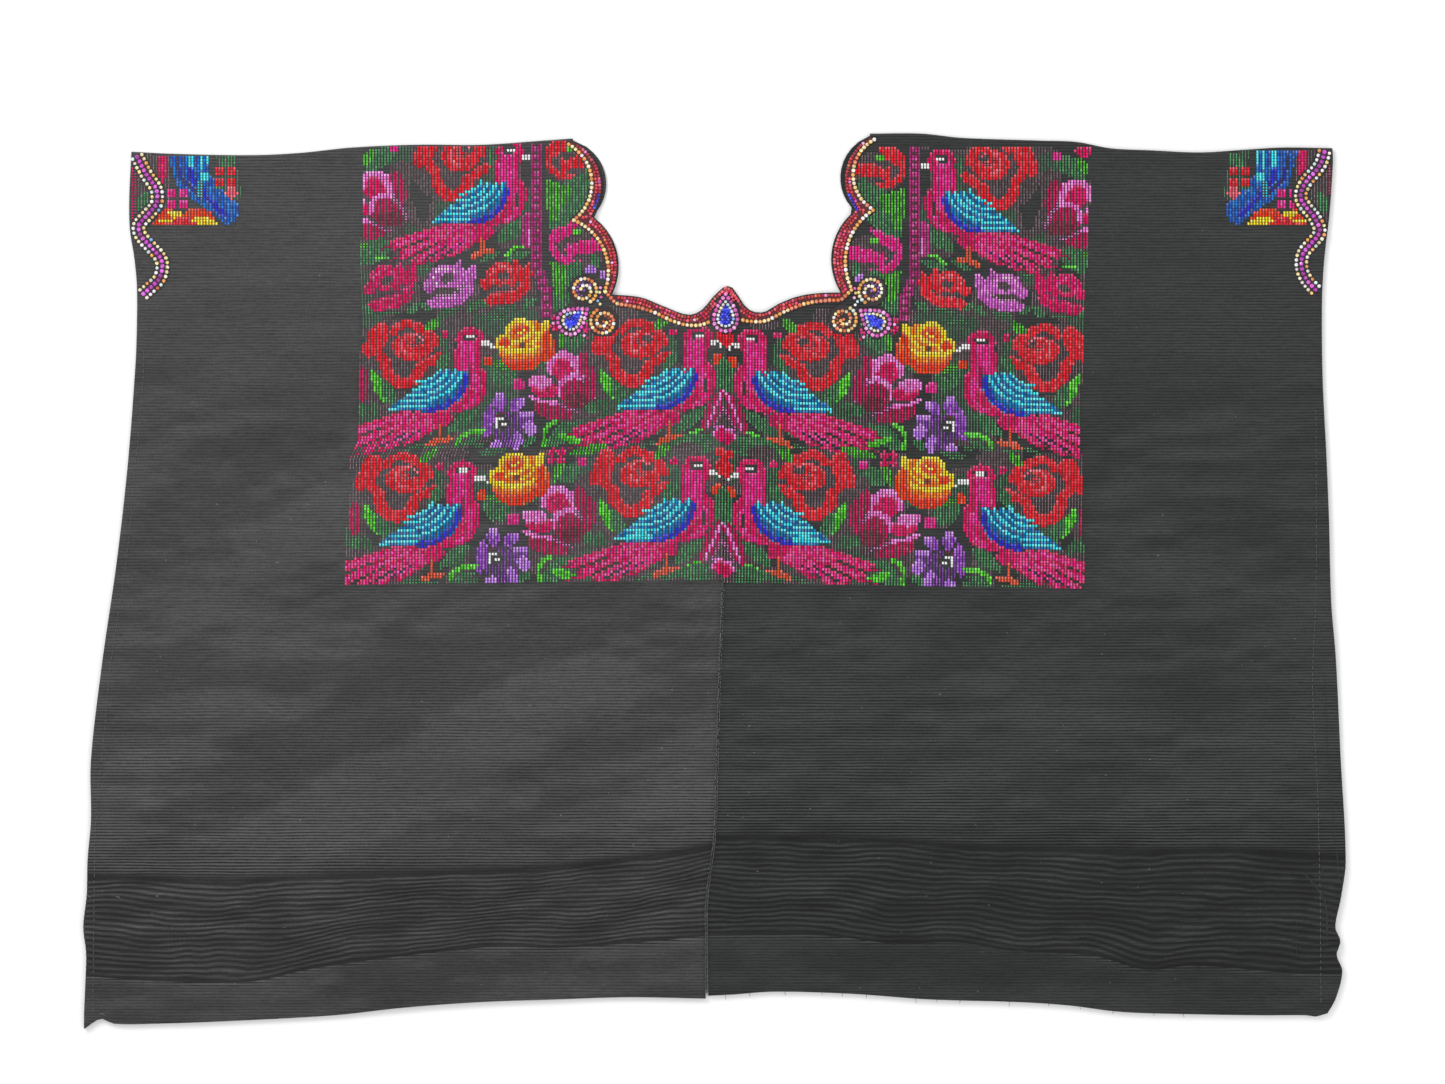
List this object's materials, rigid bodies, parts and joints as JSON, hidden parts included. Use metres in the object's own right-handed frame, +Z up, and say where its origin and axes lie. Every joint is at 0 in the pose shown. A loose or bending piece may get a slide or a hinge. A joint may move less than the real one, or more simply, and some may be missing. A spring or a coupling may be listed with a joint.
{
  "type": "huipil blouse laid flat",
  "caption": "Wide sleeveless blouse of loom widths folded over the shoulders, with a scalloped neck, beaded trims and a crinkled band above the hem, laid flat.",
  "frame": {"origin": "middle of the garment's outline, on the surface that it lies on", "axes": "+X to the garment's side on the right of the picture, +Y towards the neck, +Z up out of the front"},
  "size_m": [0.909, 0.6452, 0.0057],
  "materials": {
    "cloth": "dark charcoal hand-woven cotton with fine crosswise ribs",
    "brocade": "bright embroidery cotton laid in short upright floats",
    "stones": "faceted foil-backed stones in metal cups"
  },
  "bodies": {
    "root": {"panel_left": "cloth", "panel_right": "cloth", "neck_trim_left": "stones", "neck_trim_right": "stones", "arm_trim_left": "stones", "arm_trim_right": "stones", "drop_left": "stones", "drop_centre": "stones", "drop_right": "stones", "scroll_left_upper": "stones", "scroll_left_lower": "stones", "scroll_right_upper": "stones", "scroll_right_lower": "stones"}
  },
  "joints": []
}
